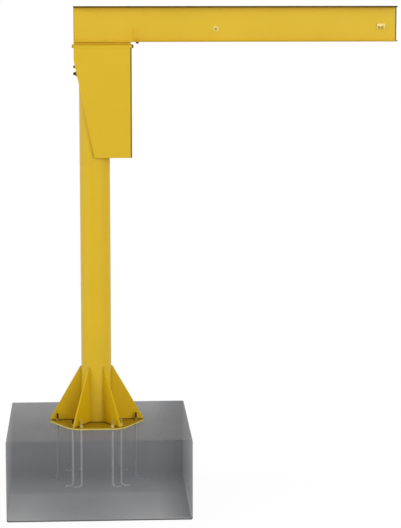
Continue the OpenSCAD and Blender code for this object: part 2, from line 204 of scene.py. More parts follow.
def solid_boxes(node):
    """Lowest and highest corner of each separate solid in a CAD node."""
    bm = bmesh.new()
    bm.from_mesh(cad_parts[node].data)
    bmesh.ops.remove_doubles(bm, verts=bm.verts, dist=0.01 * MM)
    left = set(bm.verts)
    boxes = []
    while left:
        stack = [left.pop()]
        low, high = Vector(stack[0].co), Vector(stack[0].co)
        while stack:
            v = stack.pop()
            low = Vector(map(min, low, v.co))
            high = Vector(map(max, high, v.co))
            for e in v.link_edges:
                other = e.other_vert(v)
                if other in left:
                    left.remove(other)
                    stack.append(other)
        boxes.append((low, high))
    bm.free()
    return sorted(boxes, key=lambda b: tuple(round(c, 4) for c in b[0]))


# ---------------------------------------------------------------- building meshes

def loft(rings, closed=False):
    """Points and faces of a surface through rings of points, capped, or joined end to end when closed."""
    n = len(rings[0])
    verts = [p for ring in rings for p in ring]
    faces = []
    for i in range(len(rings) if closed else len(rings) - 1):
        a, b = i * n, (i + 1) % len(rings) * n
        faces += [(a + j, a + (j + 1) % n, b + (j + 1) % n, b + j) for j in range(n)]
    if not closed:
        faces.append(tuple(reversed(range(n))))
        faces.append(tuple(range(len(verts) - n, len(verts))))
    return verts, faces


def placed(part, matrix):
    """A part moved by a matrix."""
    verts, faces = part
    return [matrix @ v for v in verts], faces


def make_piece(name, parts, material, body, replaces=()):
    """Joins parts into one mesh object that rides on a CAD body."""
    verts, faces = [], []
    for part_verts, part_faces in parts:
        start = len(verts)
        verts += part_verts
        faces += [tuple(start + i for i in face) for face in part_faces]
    mesh = bpy.data.meshes.new(name)
    mesh.from_pydata(verts, [], faces)
    bm = bmesh.new()
    bm.from_mesh(mesh)
    bmesh.ops.recalc_face_normals(bm, faces=bm.faces)
    bm.to_mesh(mesh)
    bm.free()
    mesh.shade_smooth()
    mesh.set_sharp_from_angle(angle=SHARP)
    mesh.materials.append(material)
    obj = bpy.data.objects.new(name, mesh)
    bpy.context.scene.collection.objects.link(obj)
    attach(obj, body)
    if replaces:
        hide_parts(*replaces)
    return obj


def circle(radius, z):
    """Points round Z, at the same angles as a hexagon's and a thread's."""
    return [Vector((radius * cos(2 * pi * j / SIDES), radius * sin(2 * pi * j / SIDES), z))
            for j in range(SIDES)]


def hexagon(flats, limit, z):
    """A hexagon's outline with a corner on X, cut back to the radius limit."""
    ring = []
    for j in range(SIDES):
        angle = 2 * pi * j / SIDES
        radius = min(limit, flats / 2 / cos(angle % (pi / 3) - pi / 6))
        ring.append(Vector((radius * cos(angle), radius * sin(angle), z)))
    return ring


def hexagon_rows(flats, height, both_ends):
    """Rows of a hexagonal prism on Z whose corners are chamfered at its upper end, or at both."""
    start = CHAMFER_START * flats
    drop = (flats / 2 / cos(pi / 6) - start) * tan(CHAMFER_ANGLE)
    cuts = [drop * k / CHAMFER_STEPS for k in range(CHAMFER_STEPS + 1)]
    limit = [start + cut / tan(CHAMFER_ANGLE) for cut in cuts]
    upper = [hexagon(flats, r, height - cut) for cut, r in zip(cuts, limit)][::-1]
    lower = [hexagon(flats, r, cut) for cut, r in zip(cuts, limit)]
    return (lower if both_ends else [hexagon(flats, flats, 0)]) + upper


def nut(flats, height, bore):
    """A nut on Z, chamfered at both ends, with a plain bore of the given radius."""
    return loft([circle(bore, 0)] + hexagon_rows(flats, height, True) + [circle(bore, height)], closed=True)


def thread_radius(radius, angle, z):
    """Radius of a right-handed thread at an angle and a height."""
    pitch = THREAD_PITCH * 2 * radius
    turn = (z / pitch - angle / (2 * pi)) % 1
    return radius - THREAD_DEPTH * pitch * abs(2 * turn - 1)


def thread_rings(radius, low, high):
    """Rings up Z of a thread with a chamfered end at its top."""
    pitch = THREAD_PITCH * 2 * radius
    rows = max(2, round((high - low) / pitch * RINGS_PER_TURN))
    rings = []
    for i in range(rows + 1):
        z = low + (high - low) * i / rows
        limit = radius - pitch + (high - z)
        run_out = radius if i == 0 else 0
        ring = []
        for j in range(SIDES):
            angle = 2 * pi * j / SIDES
            r = min(limit, max(run_out, thread_radius(radius, angle, z)))
            ring.append(Vector((r * cos(angle), r * sin(angle), z)))
        rings.append(ring)
    return rings


def hex_bolt(diameter, flats, head, length, thread):
    """A bolt on Z: its head below zero, its shank above, threaded over the last stretch."""
    head_part = placed(loft(hexagon_rows(flats, head, False)), Matrix.Rotation(pi, 4, "X"))
    shank = [circle(diameter / 2, 0), circle(diameter / 2, length - thread)]
    return [head_part, loft(shank + thread_rings(diameter / 2, length - thread, length))]


# ---------------------------------------------------------------- weld beads

def bead(line, leg):
    """A fillet weld along a line of (corner, direction along one plate, direction along the other)."""
    rings = []
    for i, (corner, a, b) in enumerate(line):
        end = min(1.0, (min(i, len(line) - 1 - i) + 1) / END_RINGS)
        ripple = 1 - RIPPLE_DEPTH * (i % RIPPLE_RINGS)
        size = leg * (BEAD_END + BEAD_GROWTH * end) * ripple * dice.uniform(*UNEVEN)
        out = (a + b).normalized()
        ring = [corner - out * ROOT]
        for k in range(BULGE_STEPS + 1):
            t = k / BULGE_STEPS
            ring.append(corner + size * ((1 - t) * a + t * b) + out * size * BULGE * sin(pi * t))
        rings.append(ring)
    return loft(rings)


def rings_in(length):
    """How many rings a bead has over a length."""
    return max(FEWEST_RINGS, round(length / (RIPPLE / RIPPLE_RINGS)))


def straight(start, end, a, b):
    """Line of a weld between two points."""
    steps = rings_in((end - start).length)
    return [(start.lerp(end, i / steps), a, b) for i in range(steps + 1)]


def arc(radius, z, first, last, side):
    """Line of a weld round a tube on the Z axis, on a plate at the height z; side is UP or DOWN."""
    steps = rings_in(radius * (last - first))
    line = []
    for i in range(steps + 1):
        angle = first + (last - first) * i / steps
        out = Vector((cos(angle), sin(angle), 0))
        line.append((out * radius + Z * z, out, side))
    return line


# ---------------------------------------------------------------- materials

class Nodes:
    """Short hand for building a node tree."""

    def __init__(self, name):
        self.material = bpy.data.materials.new(name)
        self.material.use_nodes = True
        self.tree = self.material.node_tree
        self.tree.nodes.clear()
        self.output = self.tree.nodes.new("ShaderNodeOutputMaterial")
        self.place = self.tree.nodes.new("ShaderNodeTexCoord").outputs["Object"]

    def add(self, kind, **values):
        """Adds a node; a value that is a socket is linked, any other is set."""
        node = self.tree.nodes.new(kind)
        for key, value in values.items():
            self.put(node, key, value)
        return node

    def put(self, node, key, value):
        """Sets a property of a node, or feeds the input of that name."""
        if not isinstance(value, bpy.types.NodeSocket) and hasattr(node, key) and key.islower():
            setattr(node, key, value)
        else:
            self.feed(node.inputs[key.replace("_", " ")], value)

    def feed(self, socket, value):
        """Links an input to a socket, or sets it to a plain value."""
        if isinstance(value, bpy.types.NodeSocket):
            self.tree.links.new(value, socket)
        else:
            socket.default_value = value

    def noise(self, scale, detail=3.0):
        """Clouds fixed to the object, scale to a metre."""
        return self.add("ShaderNodeTexNoise", Vector=self.place, Scale=scale, Detail=detail).outputs["Fac"]

    def ramp(self, fac, low, high):
        """Colours from low to high over the range in which noise lies."""
        node = self.add("ShaderNodeValToRGB", Fac=fac)
        for stop, position, colour in zip(node.color_ramp.elements, NOISE_RANGE, (low, high)):
            stop.position, stop.color = position, (*colour, 1)
        return node.outputs["Color"]

    def span(self, value, low, high, start=NOISE_RANGE[0], end=NOISE_RANGE[1]):
        """A number from low to high as value goes from start to end."""
        node = self.add("ShaderNodeMapRange", Value=value)
        for key, number in (("From Min", start), ("From Max", end), ("To Min", low), ("To Max", high)):
            node.inputs[key].default_value = number
        return node.outputs["Result"]

    def axis(self, name):
        """A coordinate of the place on the object, in metres."""
        return self.add("ShaderNodeSeparateXYZ", Vector=self.place).outputs[name]

    def facing(self, name):
        """How far the surface faces along an axis, from -1 to 1."""
        normal = self.add("ShaderNodeTexCoord").outputs["Normal"]
        return self.add("ShaderNodeSeparateXYZ", Vector=normal).outputs[name]

    def mix(self, fac, first, second):
        """A mix of two colours, each a socket or three numbers."""
        node = self.add("ShaderNodeMix", data_type="RGBA", Factor=fac)
        for socket, value in zip(node.inputs[6:8], (first, second)):
            self.feed(socket, value if isinstance(value, bpy.types.NodeSocket) else (*value, 1))
        return node.outputs[2]

    def blend_of(self, fac, first, second):
        """A mix of two numbers, each a socket or a plain number."""
        node = self.add("ShaderNodeMix", data_type="FLOAT", Factor=fac)
        for socket, value in zip(node.inputs[2:4], (first, second)):
            self.feed(socket, value)
        return node.outputs[0]

    def math(self, operation, *values):
        """The result of an operation on numbers, each a socket or a plain number."""
        node = self.add("ShaderNodeMath", operation=operation)
        for socket, value in zip(node.inputs, values):
            self.feed(socket, value)
        return node.outputs["Value"]

    def times(self, first, second):
        """The product of two numbers."""
        return self.math("MULTIPLY", first, second)

    def larger(self, first, second):
        """The larger of two numbers."""
        return self.math("MAXIMUM", first, second)

    def size_of(self, value):
        """A number without its sign."""
        return self.math("ABSOLUTE", value)

    def crease_shade(self, reach):
        """Near 1 in inner corners closer than reach, and 0 on open surfaces: where shade is painted."""
        shade = self.add("ShaderNodeAmbientOcclusion", Distance=reach, samples=8)
        return self.span(shade.outputs["AO"], 1.0, 0.0, *OPENNESS)

    def bump(self, height, strength, distance, normal=None):
        """A normal bent by a height, on top of another normal where one is given."""
        node = self.add("ShaderNodeBump", Height=height, Strength=strength, Distance=distance)
        if normal is not None:
            self.feed(node.inputs["Normal"], normal)
        return node.outputs["Normal"]

    def finish(self, **values):
        """The material, with a Principled shader of these values."""
        shader = self.add("ShaderNodeBsdfPrincipled", **values)
        self.feed(self.output.inputs["Surface"], shader.outputs["BSDF"])
        return self.material


def upright_faces(n):
    """1 on upright faces, such as a flange's edges, and 0 on level ones."""
    return n.span(n.size_of(n.facing("Z")), 1.0, 0.0, *LEVEL)


def top_flange_darkened(n):
    """1 on the top flange's upright faces, and less on its top, where it is painted near-black."""
    return n.larger(upright_faces(n), n.span(n.facing("Z"), 0.0, TOP_FACE_DARK, *LEVEL))


def boom_tip(n):
    """1 close beside the boom's tip and 0 elsewhere."""
    start, full = TIP_EDGE
    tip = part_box("boom_web")[1].x
    return n.span(n.axis("X"), 0.0, 1.0, tip - start, tip - full)


def web_edges(n):
    """1 beside the boom's tip, painted shade close under its top flange, less beside its rear end, 0
    elsewhere.
    """
    low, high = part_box("boom_web")
    full, end = REAR_EDGE
    rear = n.span(n.axis("X"), REAR_STRENGTH, 0.0, low.x + full, low.x + end)
    start, full = FLANGE_EDGE
    # Painted shade close under the top flange
    under = n.span(n.axis("Z"), 0.0, 1.0, high.z - start, high.z - full)
    return n.larger(n.larger(boom_tip(n), rear), under)


def lower_flange_darkened(n):
    """Near-black, faint, on the lower flange's upright faces from the head outwards, full beside the boom's
    tip.
    """
    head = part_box("head_shell")[1].x
    lower_dark = n.span(n.axis("X"), 0.0, LOWER_EDGE_DARK, *(head + step for step in LOWER_DARK_IN))
    return n.times(upright_faces(n), n.larger(lower_dark, boom_tip(n)))


def shell_bends(n):
    """1 on the two outer bends of the head's shell, painted shade there, and 0 on its flat faces."""
    turned = n.facing("X")
    return n.times(n.span(turned, 0.0, 1.0, *BEND_BEGINS), n.span(turned, 1.0, 0.0, *BEND_ENDS))


def plate_ends(n):
    """1 where the head's top plate stands out past the shell's front, and less past its rear."""
    low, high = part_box("head_shell")
    front = n.span(n.axis("X"), 0.0, 1.0, high.x, high.x + PLATE_END)
    rear = n.span(n.axis("X"), REAR_STRENGTH, 0.0, low.x - PLATE_END, low.x)
    return n.larger(front, rear)


def yellow_paint(name, dull, bright, gloss, foot_shade=0.0, heights=None, reach=REACH, darkened=None, darkness=1.0):
    """Safety-yellow enamel with a fine orange peel, and painted shade in its corners, as far out as reach.

    Painted shade also darkens it up to the lower of the two heights, and none above the upper one. Where the
    marking function gives 1, it is painted near-black, as strongly as the last number.
    """
    n = Nodes(name)
    colour = n.ramp(n.noise(1.6, 4), dull, bright)
    if foot_shade:
        # Painted shade low down
        low = n.span(n.axis("Z"), 1.0, 0.0, *heights)
        cloudy = n.times(low, n.span(n.noise(5, 5), 0.85, 1.0))
        colour = n.mix(n.times(cloudy, foot_shade), colour, LOW_SHADE)
    if reach:
        # Painted shade in the corners
        colour = n.mix(n.times(n.crease_shade(reach), CREASE_SHADE_STRENGTH), colour, CREASE_SHADE)
    if darkened:
        # Near-black marks; on the shell's bends and under the top flange they are painted shade
        patchy = n.times(darkened(n), n.span(n.noise(12, 4), 0.9, 1.0))
        colour = n.mix(n.times(patchy, darkness), colour, DARK_MARKS)
    peel = n.bump(n.noise(330, 2), 0.10, 0.3 * MM)
    waves = n.bump(n.noise(14, 2), 0.05, 2 * MM, peel)
    return n.finish(Base_Color=colour, Roughness=n.span(n.noise(7), 0.36, 0.46), Normal=waves,
                    Specular_IOR_Level=gloss)


def plate_paint():
    """The base plate's paint: dark brown on top, painted shade in corners and a paler rim, a painted
    highlight.
    """
    n = Nodes("yellow_paint_plate")
    # The paler colour, on the rim, is a painted highlight
    pale_sides = n.ramp(n.noise(8, 4), (0.72, 0.58, 0.13), (0.80, 0.65, 0.17))
    dark_top = n.ramp(n.noise(9, 5), (0.34, 0.220, 0.003), (0.42, 0.275, 0.005))
    # Painted shade in the corners
    dark_top = n.mix(n.crease_shade(PLATE_REACH), dark_top, CREASE_SHADE)
    colour = n.mix(n.span(n.facing("Z"), 0.0, 1.0, 0.4, 0.9), pale_sides, dark_top)
    waves = n.bump(n.noise(20, 3), 0.08, 2 * MM)
    return n.finish(Base_Color=colour, Roughness=n.span(n.noise(7), 0.42, 0.55), Normal=waves,
                    Specular_IOR_Level=0.15)


def weld_shade_paint():
    """Dark paint on the welds at the foot of the mast and gussets: painted shade along those joints."""
    n = Nodes("yellow_paint_weld_shade")
    colour = n.ramp(n.noise(25, 4), (0.10, 0.062, 0.003), (0.20, 0.130, 0.005))
    crust = n.bump(n.noise(180, 3), 0.3, 0.5 * MM)
    return n.finish(Base_Color=colour, Roughness=n.span(n.noise(20), 0.6, 0.8), Normal=crust,
                    Specular_IOR_Level=0.15)


def tie_paint():
    """Paint on the rear tie's bolts and nuts: thin on the upper ones, lost under grime on the lower ones."""
    n = Nodes("yellow_paint_tie")
    low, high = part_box("rear_tie_bolts")
    middle = (low.z + high.z) / 2
    thin = n.ramp(n.noise(45, 4), (0.34, 0.24, 0.02), (0.44, 0.31, 0.03))
    lost = n.ramp(n.noise(45, 4), (0.05, 0.036, 0.006), (0.10, 0.070, 0.010))
    colour = n.mix(n.span(n.axis("Z"), 0.0, 1.0, middle - 5 * MM, middle + 5 * MM), lost, thin)
    crust = n.bump(n.noise(400, 3), 0.2, 0.3 * MM)
    return n.finish(Base_Color=colour, Roughness=n.span(n.noise(35), 0.42, 0.6), Normal=crust,
                    Specular_IOR_Level=0.25)


def gold_zinc(name, dull, bright):
    """Yellow-passivated zinc on the fittings of the boom, with faint clouds."""
    n = Nodes(name)
    colour = n.ramp(n.noise(45, 4), dull, bright)
    grain = n.bump(n.noise(900, 2), 0.12, 0.2 * MM)
    return n.finish(Base_Color=colour, Metallic=0.4, Roughness=n.span(n.noise(35), 0.28, 0.42), Normal=grain)


def front_pale_back_dark(n, front_tone, shaded_tone):
    """Colour of the anchors' exposed ends: pale at the front of the plate, dark behind, as painted shade."""
    slant = n.add("ShaderNodeVectorMath", operation="DOT_PRODUCT", Vector=n.place)
    slant.inputs[1].default_value = SHADE_WAY
    return n.mix(n.span(slant.outputs["Value"], 0.0, 1.0, *SHADE_ALONG), front_tone, shaded_tone)


def anchor_gold():
    """Yellow-passivated zinc on the anchors' nuts and washers, dark behind the front as painted shade."""
    n = Nodes("anchor_gold")
    front_tone = n.ramp(n.noise(45, 4), (0.56, 0.43, 0.13), (0.78, 0.64, 0.26))
    shaded_tone = n.ramp(n.noise(45, 4), (0.30, 0.19, 0.02), (0.42, 0.27, 0.03))
    grain = n.bump(n.noise(900, 2), 0.12, 0.2 * MM)
    return n.finish(Base_Color=front_pale_back_dark(n, front_tone, shaded_tone), Metallic=0.4,
                    Roughness=n.span(n.noise(35), 0.30, 0.45), Normal=grain)


def anchor_steel():
    """Anchor bolts: galvanised in the block, duller at its middle, above it gold, dark behind as painted
    shade.
    """
    n = Nodes("anchor_steel")
    above = n.span(n.axis("Z"), 0.0, 1.0, BLOCK_TOP - 2 * MM, BLOCK_TOP + 6 * MM)
    cast_in = n.ramp(n.noise(30, 4), (0.90, 0.91, 0.93), (0.96, 0.97, 0.98))
    middle = n.span(n.size_of(n.axis("Y")), 1.0, 0.0, *DULL_MIDDLE)
    cast_in = n.mix(middle, cast_in, (0.68, 0.69, 0.71))
    front_tone = n.ramp(n.noise(60, 4), (0.44, 0.31, 0.06), (0.62, 0.47, 0.12))
    shaded_tone = n.ramp(n.noise(60, 4), (0.05, 0.028, 0.008), (0.10, 0.060, 0.015))
    grain = n.bump(n.noise(500, 2), 0.08, 0.2 * MM)
    return n.finish(Base_Color=n.mix(above, cast_in, front_pale_back_dark(n, front_tone, shaded_tone)),
                    Metallic=n.span(above, 1.0, 0.3, 0.0, 1.0),
                    Roughness=n.span(n.noise(35), 0.62, 0.68), Normal=grain)


def dark_steel():
    """Black-oxide steel with a thin film of oil."""
    n = Nodes("dark_steel")
    colour = n.ramp(n.noise(80, 4), (0.045, 0.045, 0.048), (0.10, 0.10, 0.105))
    grain = n.bump(n.noise(700, 2), 0.12, 0.2 * MM)
    return n.finish(Base_Color=colour, Metallic=0.7, Roughness=n.span(n.noise(50), 0.32, 0.5), Normal=grain)


def machined_steel():
    """Turned rollers and pins, with fine tool marks round the axis."""
    n = Nodes("machined_steel")
    lines = n.add("ShaderNodeTexWave", Vector=n.place, Scale=420.0, Distortion=1.5, bands_direction="Z")
    colour = n.ramp(n.noise(40, 4), (0.42, 0.42, 0.41), (0.56, 0.56, 0.55))
    marks = n.bump(lines.outputs["Fac"], 0.2, 0.05 * MM)
    return n.finish(Base_Color=colour, Metallic=1.0, Roughness=n.span(n.noise(30), 0.22, 0.34), Normal=marks)


def bearing_bronze():
    """Turned bronze, faintly clouded."""
    n = Nodes("bearing_bronze")
    colour = n.ramp(n.noise(50, 4), (0.42, 0.24, 0.08), (0.55, 0.33, 0.13))
    grain = n.bump(n.noise(600, 2), 0.1, 0.1 * MM)
    return n.finish(Base_Color=colour, Metallic=1.0, Roughness=n.span(n.noise(40), 0.25, 0.4), Normal=grain)


def see_through_block():
    """The foundation shown as smoky see-through concrete: a cloudy grey skin round an absorbing body.

    Its underside is clearer than its sides, so that the pale ground shows through it, but for a painted
    shadow.
    Its top is painted lighter towards the front, its skin darker towards one side as painted shade, and its
    front has a faint darker band and a dark line at its foot.
    """
    n = Nodes("see_through_block")
    clouds = n.noise(1.4, 5)
    x, y, z = (n.axis(name) for name in "XYZ")
    front = n.span(y, 1.0, 0.0, *FRONT)

    colour = n.ramp(clouds, (0.080, 0.083, 0.090), (0.118, 0.121, 0.130))
    top = n.span(z, 0.0, 1.0, BLOCK_TOP - 3 * MM, BLOCK_TOP - MM)
    # Painted light: the top lighter towards the front
    lighter_top = n.times(top, n.span(y, 1.0, 0.0, *TOP_LIGHTER))
    colour = n.mix(lighter_top, colour, (0.16, 0.16, 0.166))
    band = n.times(n.span(z, 0.0, 1.0, *BAND_IN), n.span(z, 1.0, 0.0, *BAND_OUT))
    colour = n.mix(n.times(n.times(band, front), BAND_STRENGTH), colour, FRONT_DARK)
    level = n.size_of(n.facing("Z"))
    upright = n.span(level, 1.0, 0.0, 0.92, 0.98)
    foot = n.times(n.times(n.span(z, 1.0, 0.0, *FOOT_LINE_HEIGHT), front), upright)
    colour = n.mix(foot, colour, FRONT_DARK)

    clear = n.times(n.span(z, 1.0, 0.0, 10 * MM, 20 * MM), n.span(y, 1.0, 0.0, *CLEARING))
    clear = n.times(clear, n.span(y, 1.0, BEHIND_STEP, *CLEARING_STEP))
    # Painted shadow: the underside stays darker round this spot
    spot = n.add("ShaderNodeMapping", vector_type="TEXTURE", Vector=n.place,
                 Location=SHADOW_PATCH_AT, Scale=SHADOW_PATCH_SIZE)
    shadow_patch = n.add("ShaderNodeTexGradient", gradient_type="SPHERICAL", Vector=spot.outputs["Vector"])
    clear = n.times(clear, n.span(shadow_patch.outputs["Fac"], 1.0, 0.0, 0.0, SHADOW_PATCH_CORE))
    alpha = n.blend_of(clear, n.span(n.noise(2.2, 4), *SKIN_ALPHA), UNDERSIDE)
    # Painted shade: the skin denser, so darker, towards one side
    inner = n.times(n.span(x, 0.0, 1.0, *RIGHT_SHADE), n.span(y, 0.0, 1.0, *FRONT))
    side = n.span(n.size_of(n.facing("X")), 1.0, 0.0, 0.2, 0.6)
    alpha = n.blend_of(n.times(inner, side), alpha, RIGHT_SHADE_ALPHA)
    alpha = n.blend_of(foot, alpha, FOOT_LINE_ALPHA)

    pores = n.bump(n.noise(40, 3), 0.01, 0.5 * MM)
    body = n.add("ShaderNodeVolumeAbsorption", Color=(0.0, 0.005, 0.02, 1), Density=0.40)
    n.feed(n.output.inputs["Volume"], body.outputs["Volume"])
    return n.finish(Base_Color=colour, Alpha=alpha, Roughness=n.span(clouds, 0.5, 0.62), Normal=pores,
                    Specular_IOR_Level=0.42)


# ---------------------------------------------------------------- the foundation and its anchors

def make_block():
    """The block with rounded edges, just inside the CAD's."""
    low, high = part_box("foundation_block")
    inset, edge = 0.3 * MM, 20 * MM
    bm = bmesh.new()
    bmesh.ops.create_cube(bm, size=1)
    size = high - low - Vector((2 * inset,) * 3)
    bmesh.ops.scale(bm, vec=size, verts=bm.verts)
    bmesh.ops.translate(bm, vec=(low + high) / 2, verts=bm.verts)
    bmesh.ops.bevel(bm, geom=bm.edges, offset=edge, segments=5, profile=0.5, affect="EDGES")
    part = [Vector(v.co) for v in bm.verts], [tuple(v.index for v in f.verts) for f in bm.faces]
    bm.free()
    block = make_piece("cast_block", [part], BLOCK, "column", ["foundation_block"])
    block.visible_shadow = False


def anchor_rod(low, high):
    """A hooked rod inside the given box, its hook away from the mast and its top threaded."""
    r = (high.y - low.y) / 2
    outward = 1 if low.x + high.x > 0 else -1
    axis_x = low.x + r if outward > 0 else high.x - r
    tip_x = high.x if outward > 0 else low.x
    axis_y, hook_z = (low.y + high.y) / 2, low.z + r

    def ring(centre, along, radius=r):
        side = Y.cross(along)
        return [centre + radius * (cos(2 * pi * j / SIDES) * side + sin(2 * pi * j / SIDES) * Y)
                for j in range(SIDES)]

    inward = Vector((-outward, 0, 0))
    rings = [ring(Vector((tip_x, axis_y, hook_z)), inward, r - MM),
             ring(Vector((tip_x - outward * MM, axis_y, hook_z)), inward)]
    centre = Vector((axis_x + outward * ANCHOR_BEND, axis_y, hook_z + ANCHOR_BEND))
    for i in range(BEND_STEPS + 1):
        turn = pi / 2 * i / BEND_STEPS
        at = centre + ANCHOR_BEND * (-Z * cos(turn) + inward * sin(turn))
        rings.append(ring(at, inward * cos(turn) + Z * sin(turn)))
    foot = Vector((axis_x, axis_y, 0))
    for points in thread_rings(r, high.z - ANCHOR_THREAD, high.z):
        rings.append([foot + p for p in points])
    return loft(rings)


def make_anchors():
    """The hooked rods and their nuts, each nut turned at random."""
    pairs = sorted(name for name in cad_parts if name.startswith("anchor_pair_"))
    for name in pairs:
        rods = [anchor_rod(low, high) for low, high in solid_boxes(name)]
        make_piece(name.replace("pair", "rods"), rods, RODS, "column", [name])
    low, high = solid_boxes(pairs[0])[0]
    bore = (high.y - low.y) / 2
    nuts = []
    for low, high in solid_boxes("anchor_nuts"):
        foot = Vector(((low.x + high.x) / 2, (low.y + high.y) / 2, low.z))
        turn = Matrix.Rotation(dice.uniform(0, pi / 3), 4, "Z")
        flats = (high.y - low.y) * TURNED_NUT
        nuts.append(placed(nut(flats, high.z - low.z, bore), Matrix.Translation(foot) @ turn))
    make_piece("anchor_hex_nuts", nuts, ANCHOR_GOLD, "column", ["anchor_nuts"])


# ---------------------------------------------------------------- bolts and nuts of the jib

TURNED = {
    "x": Matrix.Rotation(-pi / 2, 4, "Y"),
    "y": Matrix.Rotation(-pi / 2, 4, "X"),
    "z": Matrix.Identity(4),
    "down": Matrix.Rotation(pi, 4, "X"),
}


def span_of(low, high, axis):
    """Length along the axis x, y or z, and smallest width across it."""
    size = dict(zip("xyz", high - low))
    return size.pop(axis), min(size.values())


def replace_nuts(node, name, axis, bore, material):
    """Chamfered nuts in place of the plain ones."""
    parts = []
    for low, high in solid_boxes(node):
        height, flats = span_of(low, high, axis)
        middle = (low + high) / 2
        local = Matrix.Translation(middle) @ TURNED[axis] @ Matrix.Translation((0, 0, -height / 2))
        parts.append(placed(nut(flats, height, bore), local))
    make_piece(name, parts, material, "jib", [node])


def replace_bolts(node, name, axis, diameter, material, flip=False):
    """Bolts with chamfered heads and threaded ends in place of the plain ones."""
    parts = []
    for low, high in solid_boxes(node):
        length, flats = span_of(low, high, axis)
        head = HEAD_HEIGHT * diameter
        way = TURNED["down"] if flip else Matrix.Identity(4)
        middle = (low + high) / 2
        drop = Matrix.Translation((0, 0, head - length / 2))
        local = Matrix.Translation(middle) @ TURNED[axis] @ way @ drop
        shank = length - head
        for part in hex_bolt(diameter, flats, head, shank, min(shank, THREAD_LENGTH * diameter)):
            parts.append(placed(part, local))
    make_piece(name, parts, material, "jib", [node])


# ---------------------------------------------------------------- welds

def make_column_welds():
    """Beads between mast, gussets and base plate."""
    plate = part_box("base_plate")[1].z
    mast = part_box("mast")[1].x
    gussets = sorted(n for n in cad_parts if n.startswith("gusset_"))
    low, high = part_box(gussets[0])
    half = (high.y - low.y) / 2
    beads, foot_beads = [], []
    for i in range(len(gussets)):
        angle = 2 * pi * i / len(gussets)
        out = Vector((cos(angle), sin(angle), 0))
        for side in (-1, 1):
            across = side * Vector((-sin(angle), cos(angle), 0))
            root = out * mast + across * half + Z * plate
            top = out * mast + across * half + Z * (high.z - SHORT_OF_TOP)
            toe = out * (high.x - SHORT_OF_TOE) + across * half + Z * plate
            beads.append(bead(straight(root, top, out, across), FOOT_LEG))
            foot_beads.append(bead(straight(root, toe, across, UP), FOOT_LEG))
        gap = (half + FOOT_LEG) / mast
        turn = angle + gap, angle + 2 * pi / len(gussets) - gap
        foot_beads.append(bead(arc(mast, plate, *turn, UP), FOOT_LEG))
    make_piece("column_welds", beads, BASE_YELLOW, "column")
    # Dark foot welds: painted shade along the joints
    make_piece("foot_welds", foot_beads, WELD_SHADE, "column")


def along_x(low, high, y, z, a, b):
    """A bead along X from one box corner's X to the other's."""
    return bead(straight(Vector((low.x, y, z)), Vector((high.x, y, z)), a, b), LEG)


def make_boom_welds():
    """Beads between the web and the flanges."""
    low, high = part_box("boom_web")
    beads = []
    for y, across in ((low.y, -Y), (high.y, Y)):
        for z, way in ((low.z, UP), (high.z, DOWN)):
            beads.append(along_x(low, high, y, z, across, way))
    make_piece("boom_welds", beads, BOOM_YELLOW, "jib")


def make_head_welds():
    """Beads that join the head's shell, saddle, housing, brackets and lugs to one another."""
    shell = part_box("head_shell")[1]
    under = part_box("head_top_plate")[0].z
    edge = shell.y - SHELL_BEND
    beads = [bead(straight(Vector((shell.x, -edge, under)), Vector((shell.x, edge, under)), X, DOWN), LEG)]
    low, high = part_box("head_saddle")
    for side in (-1, 1):
        beads.append(along_x(low, high, side * high.y, low.z, side * Y, UP))
    beads.append(bead(straight(Vector((high.x, low.y, low.z)), Vector((high.x, high.y, low.z)), X, UP), LEG))
    beads.append(bead(arc(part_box("bearing_housing")[1].x, under, 0, 2 * pi, DOWN), LEG))
    for name in ("roller_bracket_upper", "roller_bracket_lower"):
        low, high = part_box(name)
        for side in (-1, 1):
            for z, way in ((low.z, DOWN), (high.z, UP)):
                beads.append(along_x(low, high, side * high.y, z, -side * Y, way))
    for low, high in solid_boxes("rear_tie_lugs"):
        y = low.y if abs(low.y) > abs(high.y) else high.y
        inward = Y if y < 0 else -Y
        beads.append(bead(straight(Vector((high.x, y, low.z)), Vector((high.x, y, high.z)), inward, X), LEG))
    make_piece("head_welds", beads, YELLOW, "jib")


# ---------------------------------------------------------------- CAD nodes that stay

def soften(obj, width):
    """Rounds the sharp edges of a CAD node with modifiers, its mesh being left alone."""
    weld = obj.modifiers.new("weld", "WELD")
    weld.merge_threshold = 0.02 * MM
    flat = obj.modifiers.new("dissolve", "DECIMATE")
    flat.decimate_type = "DISSOLVE"
    flat.angle_limit = radians(0.5)
    edge = obj.modifiers.new("edges", "BEVEL")
    edge.width = width
    edge.segments = 2
    edge.limit_method = "ANGLE"
    edge.angle_limit = radians(40)
    edge.use_clamp_overlap = False
    edge.miter_outer = "MITER_ARC"
    obj.modifiers.new("normals", "WEIGHTED_NORMAL")


def dress(node, material, width):
    """Gives a CAD node its material and rounded edges."""
    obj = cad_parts[node]
    obj.data.materials.clear()
    obj.data.materials.append(material)
    soften(obj, width)


# ---------------------------------------------------------------- stage

def seen_white(tree):
    """1 for the camera's rays and those off gloss and through glass, and 0 for those that light the object."""
    path = tree.nodes.new("ShaderNodeLightPath")
    seen = path.outputs["Is Camera Ray"]
    for name in ("Is Glossy Ray", "Is Transmission Ray"):
        both = tree.nodes.new("ShaderNodeMath")
        both.operation = "MAXIMUM"
        tree.links.new(seen, both.inputs[0])
        tree.links.new(path.outputs[name], both.inputs[1])
        seen = both.outputs["Value"]
    return seen


def mix_shaders(tree, fac, first, second, output):
    """Sends a mix of two shaders to the output."""
    mix = tree.nodes.new("ShaderNodeMixShader")
    for socket, value in zip(mix.inputs, (fac, first, second)):
        tree.links.new(value, socket)
    tree.links.new(mix.outputs["Shader"], output.inputs["Surface"])


